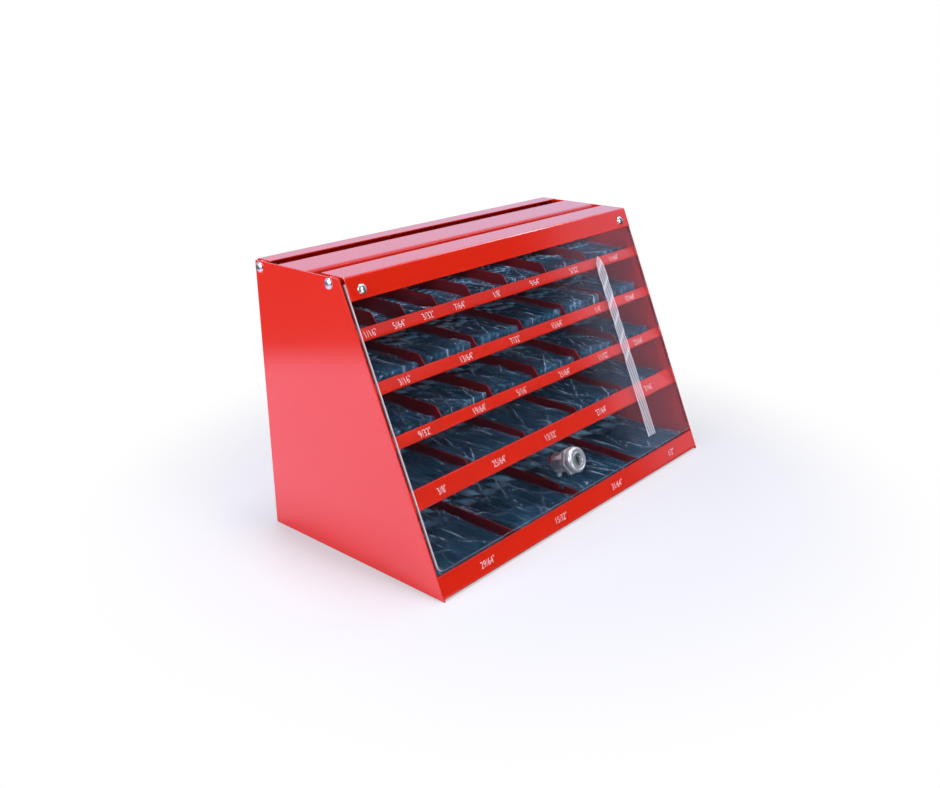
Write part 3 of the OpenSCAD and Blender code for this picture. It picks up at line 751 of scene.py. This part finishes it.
crinkled_film, tree, shader = new_material("crinkled film", Metallic=0.25)
place = new_node(tree, "ShaderNodeTexCoord").outputs["Object"]
crease = new_node(tree, "ShaderNodeAttribute", attribute_name="crease").outputs["Fac"]
edge_on = new_node(tree, "ShaderNodeLayerWeight", {"Blend": 0.3}).outputs["Facing"]
cloud, peel = place_uneven(tree, 45.0, 75.0)
warp = new_node(tree, "ShaderNodeTexNoise", {"Vector": place, "Scale": 60.0, "Detail": 1.0})
bent = new_node(tree, "ShaderNodeVectorMath", {0: warp.outputs["Color"], 1: (0.004, 0.004, 0.004)},
                operation="MULTIPLY")
moved = new_node(tree, "ShaderNodeVectorMath", {0: place, 1: bent.outputs["Vector"]})
drawn = new_node(tree, "ShaderNodeMapping", {"Vector": moved.outputs["Vector"], "Rotation": (0.0, 0.0, 0.14),
                                             "Scale": (1.0, 0.2, 1.0)})
cells = new_node(tree, "ShaderNodeTexVoronoi", {"Vector": drawn.outputs["Vector"], "Scale": 130.0},
                 feature="DISTANCE_TO_EDGE")
line = map_range(tree, cells.outputs["Distance"], 0.0, 0.09, 1.0, 0.0)
kept = map_range(tree, peel, 0.62, 0.76)
wrinkle_glint = reckon(tree, "MULTIPLY", line, kept)
# Painted glints: creases and folds turn the film whiter and more opaque.
white = reckon(tree, "MAXIMUM", wrinkle_glint, crease, clamp=True)
colour_by(tree, shader, white, (0.13, 0.50, 0.95), (0.88, 0.96, 1.0))
roughness_by(tree, shader, cloud, 0.10, 0.22)
haze = spread(tree, cloud, 0.01, 0.24)
sheen = reckon(tree, "MULTIPLY_ADD", edge_on, 0.12, haze)
cover = reckon(tree, "MULTIPLY_ADD", white, 0.85, sheen, clamp=True)
tree.links.new(cover, shader.inputs["Alpha"])

film_beside, film_below, film_beyond, film_grain = 0.0006, 0.0005, 0.004, 0.0013
fold_area, fold_slants = 0.00036, ((1.0, 0.25), (2.2, 0.25), (1.7, 0.12), (1.6, 0.08))
front_slope, front_steps, back_slope, ruffled_end = 0.0014, 5, 0.0025, 0.012
# Among these are the fold height for a full painted glint and the painted glint at the seams.
puff_height, ruffle_height, seam_wave, seam_width, glint_fold = 0.0022, 0.0016, 0.0011, 0.0012, 0.0014
drill_dip, under_share, seam_share, seam_glint = 0.18, 0.97, 0.9, 0.3
fold_seed, film_crease = 40, 22


def pouch_mesh(work, crease_glint_layer, pocket, luck):
    half = pocket["room"] / 2 + film_beside
    low, high = pocket["floor"] - film_below, pocket["high"]
    long = pocket["reach"] + film_beyond
    across = max(8, round(2 * half / film_grain))
    down = max(12, round(long / film_grain))
    folds = []
    for _ in range(int(5 + long * half * 2 / fold_area)):
        angle = luck.choice([luck.gauss(mean, vary) for mean, vary in fold_slants])
        folds.append((luck.uniform(-half, half), luck.uniform(0.0, long), math.cos(angle), math.sin(angle),
                      luck.uniform(0.008, 0.040), luck.uniform(0.0018, 0.0038),
                      luck.uniform(0.0005, 0.0016)))
    stations = [front_slope * step / front_steps for step in range(front_steps)]
    stations += [front_slope + (long - front_slope) * step / down for step in range(down + 1)]
    rise = (high - low) / 2
    rings = []
    for along in stations:
        pinch = min(1.0, along / front_slope, (long - along) / back_slope + 0.35)
        near_end = max(0.0, 1 - along / ruffled_end)
        loop = []
        for column in range(across + 1):
            side = -half + 2 * half * column / across
            # Each point gets a painted glint share, highest on fold crests and the ruffled front end.
            crumple, glint_share = 0.0, 0.0
            for x, y, fold_x, fold_y, reach, wide, tall in folds:
                dx, dy = side - x, along - y
                run = abs(dx * fold_x + dy * fold_y) / reach
                off = abs(dx * fold_y - dy * fold_x) / wide
                if run < 1 and off < 1:
                    crumple = max(crumple, tall * (1 - off) * (1 - run * run))
                    glint_share = max(glint_share, (1 - off) ** 5 * (1 - run * run) * tall / glint_fold)
            puff = noise.noise(Vector((side * 90 + pocket["middle"] * 900, along * 28, 1.0)))
            crumple += puff_height * max(0.0, puff)
            if near_end > 0:
                spot = Vector((side * 300, along * 170 + pinch * 1.6, pocket["middle"] * 50))
                ruffle = abs(noise.noise(spot)) + 0.5 * abs(noise.noise(spot * 2.3))
                crumple += ruffle_height * (ruffle - 0.35) * near_end
                glint_share = max(glint_share, 0.5 * near_end * max(0.0, min(1.0, (ruffle - 0.64) / 0.14)))
            shift = (pocket["count"] % 2 - 1) * math.pi
            dip = (1 + math.cos(math.tau * side / pocket["pitch"] + shift)) / 2
            top = high - drill_dip * pocket["wide"] * (1 - dip) * (1 - near_end) + crumple
            loop.append((side, low + (top - low) * (0.15 + 0.85 * pinch), glint_share))
        edge = seam_wave * noise.noise(Vector((pocket["middle"] * 90, along * 160, 3.0)))
        # The side seams carry a fixed painted glint.
        loop.append((half + seam_width + edge, low + rise * seam_share * pinch, seam_glint))
        loop += [(half * under_share, low, 0.0), (0.0, low, 0.0), (-half * under_share, low, 0.0)]
        loop.append((-half - seam_width + edge, low + rise * seam_share * pinch, seam_glint))
        ring = []
        for x, z, glint_share in loop:
            vert = work.verts.new((pocket["middle"] + x, pocket["front"] + along, z))
            vert[crease_glint_layer] = glint_share
            ring.append(vert)
        rings.append(ring)
    for near, far in zip(rings, rings[1:]):
        count = len(near)
        for place in range(count):
            after = (place + 1) % count
            work.faces.new((near[place], near[after], far[after], far[place]))
    work.faces.new(rings[0])


for tier in range(5):
    luck = random.Random(fold_seed + tier)
    work = bmesh.new()
    crease_glint_layer = work.verts.layers.float.new("crease")
    for pocket in pocket_drills(tier):
        pouch_mesh(work, crease_glint_layer, pocket, luck)
    bmesh.ops.recalc_face_normals(work, faces=work.faces)
    mesh = finish_mesh(work, "film_pouches_%d" % (tier + 1))
    shade_by_angle(mesh, film_crease)
    pouches = add_piece("film_pouches_%d" % (tier + 1), mesh, crinkled_film)
    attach(pouches, "cabinet")
    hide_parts("pouches_%d" % (tier + 1))

# Stage: a white table in a bright studio with soft lamps.
# The room is dark where the pane would mirror it, and white where it is seen straight.
# The camera stands front left of the stand and a little above it, as in the photograph.


def add_lamp(name, place, aim, width, height, watts, colour=(1.0, 1.0, 1.0)):
    lamp = bpy.data.lights.new(name, "AREA")
    lamp.shape, lamp.size, lamp.size_y, lamp.energy, lamp.color = "RECTANGLE", width, height, watts, colour
    holder = bpy.data.objects.new(name, lamp)
    holder.location = place
    holder.rotation_euler = (Vector(aim) - Vector(place)).to_track_quat("-Z", "Y").to_euler()
    holder.visible_transmission = False
    bpy.context.collection.objects.link(holder)


middle = (0.0, 0.0, 0.1)
add_lamp("overhead softbox", (0.0, 0.12, 1.4), middle, 0.3, 0.7, 11.5)
add_lamp("low front softbox", (0.0, -1.2, 0.10), middle, 0.3, 0.3, 4.5, (1.0, 0.97, 0.94))
add_lamp("high front softbox", (0.0, -1.2, 0.85), middle, 0.3, 0.3, 6.5)
add_lamp("left softbox", (-1.15, 0.2, 0.5), (-0.28, 0.06, 0.05), 0.6, 0.5, 11.0, (1.0, 0.93, 1.0))
add_lamp("right spot", (1.05, 0.0, 1.2), middle, 0.3, 0.3, 2.0)


def straight_rays(tree):
    path = new_node(tree, "ShaderNodeLightPath").outputs
    seen = reckon(tree, "MAXIMUM", path["Is Camera Ray"], path["Is Transmission Ray"])
    turned = reckon(tree, "ADD", path["Diffuse Depth"], path["Glossy Depth"])
    unturned = reckon(tree, "LESS_THAN", turned, 0.5)
    straight = reckon(tree, "MULTIPLY", seen, unturned)
    undimmed = reckon(tree, "LESS_THAN", path["Diffuse Depth"], 0.5)
    glossy = reckon(tree, "MAXIMUM", path["Glossy Depth"], path["Is Glossy Ray"], clamp=True)
    mirrored = reckon(tree, "MULTIPLY", glossy, undimmed, clamp=True)
    return straight, mirrored


table_white, tree, shader = new_material("table white", Roughness=0.6)
straight, mirrored = straight_rays(tree)
glow = new_node(tree, "ShaderNodeEmission", {"Color": (1.0, 1.0, 1.0, 1.0), "Strength": 1.0})
place = new_node(tree, "ShaderNodeTexCoord").outputs["Object"]
away = new_node(tree, "ShaderNodeVectorMath", {0: place}, operation="LENGTH").outputs["Value"]
sideways = new_node(tree, "ShaderNodeSeparateXYZ", {"Vector": place}).outputs["X"]
far_share = map_range(tree, away, 0.19, 0.40, 0.35, 1.0, "SMOOTHSTEP")
left_side = map_range(tree, sideways, -0.15, -0.20)
near = map_range(tree, away, 0.70, 0.60)
mirrored_patch = reckon(tree, "MULTIPLY", left_side, near)
# Painted reflection: seen in mirrors the table is dark far off, with a lilac patch at the left that the side
# panel reflects.
reflected = blend_colours(tree, mirrored_patch, (0.06, 0.055, 0.06), (0.80, 0.66, 0.86))
colour_by(tree, shader, mirrored, (0.66, 0.68, 0.75), reflected)
share = reckon(tree, "MULTIPLY", straight, far_share)
table_mix = new_node(tree, "ShaderNodeMixShader",
                     {0: share, 1: shader.outputs["BSDF"], 2: glow.outputs["Emission"]})
tree.links.new(table_mix.outputs["Shader"], tree.nodes["Material Output"].inputs["Surface"])
table_mesh = bpy.data.meshes.new("table")
table_half, table_drop = 6.0, 0.0002
table_corners = [(-1, -1), (1, -1), (1, 1), (-1, 1)]
table_mesh.from_pydata([(x * table_half, y * table_half, 0) for x, y in table_corners], [], [(0, 1, 2, 3)])
table = bpy.data.objects.new("table", table_mesh)
table_mesh.materials.append(table_white)
table.location.z = -table_drop
bpy.context.collection.objects.link(table)

world = bpy.data.worlds.new("studio")
bpy.context.scene.world = world
world.use_nodes = True
tree = world.node_tree
straight, mirrored = straight_rays(tree)
way = new_node(tree, "ShaderNodeTexCoord").outputs["Generated"]
part = new_node(tree, "ShaderNodeSeparateXYZ", {"Vector": way}).outputs
above = map_range(tree, part["Z"], 0.56, 0.66, 0.0, 0.33, "SMOOTHSTEP")
aside = map_range(tree, part["X"], 0.77, 0.805, 0.0, 0.50, "SMOOTHSTEP")
behind = map_range(tree, part["Y"], -0.45, -0.1, 0.0, 0.75, "SMOOTHSTEP")
lit = reckon(tree, "MAXIMUM", reckon(tree, "MAXIMUM", above, aside), behind)
room = reckon(tree, "ADD", lit, 0.03)
level = new_node(tree, "ShaderNodeMix", {"Factor": mirrored, 2: 0.16, 3: room},
                 data_type="FLOAT").outputs[0]
strength = new_node(tree, "ShaderNodeMix", {"Factor": straight, 2: level, 3: 1.0},
                    data_type="FLOAT").outputs[0]
tint = blend_colours(tree, straight, (0.84, 0.85, 1.16), (1.0, 1.0, 1.0))
tree.links.new(tint, tree.nodes["Background"].inputs["Color"])
tree.links.new(strength, tree.nodes["Background"].inputs["Strength"])

bpy.context.scene.view_settings.view_transform = "Standard"
lens = bpy.data.cameras.new("camera")
lens.sensor_width = 36.0
lens.lens = 37.835
lens.clip_start = 0.01
camera = bpy.data.objects.new("camera", lens)
camera_place = Vector((-0.636237, -0.522961, 0.398092))
camera_turn = Euler([math.radians(degrees) for degrees in (69.28083, 0.38651, -48.66693)])
camera.matrix_world = Matrix.LocRotScale(camera_place, camera_turn, None)
bpy.context.collection.objects.link(camera)
bpy.context.scene.camera = camera
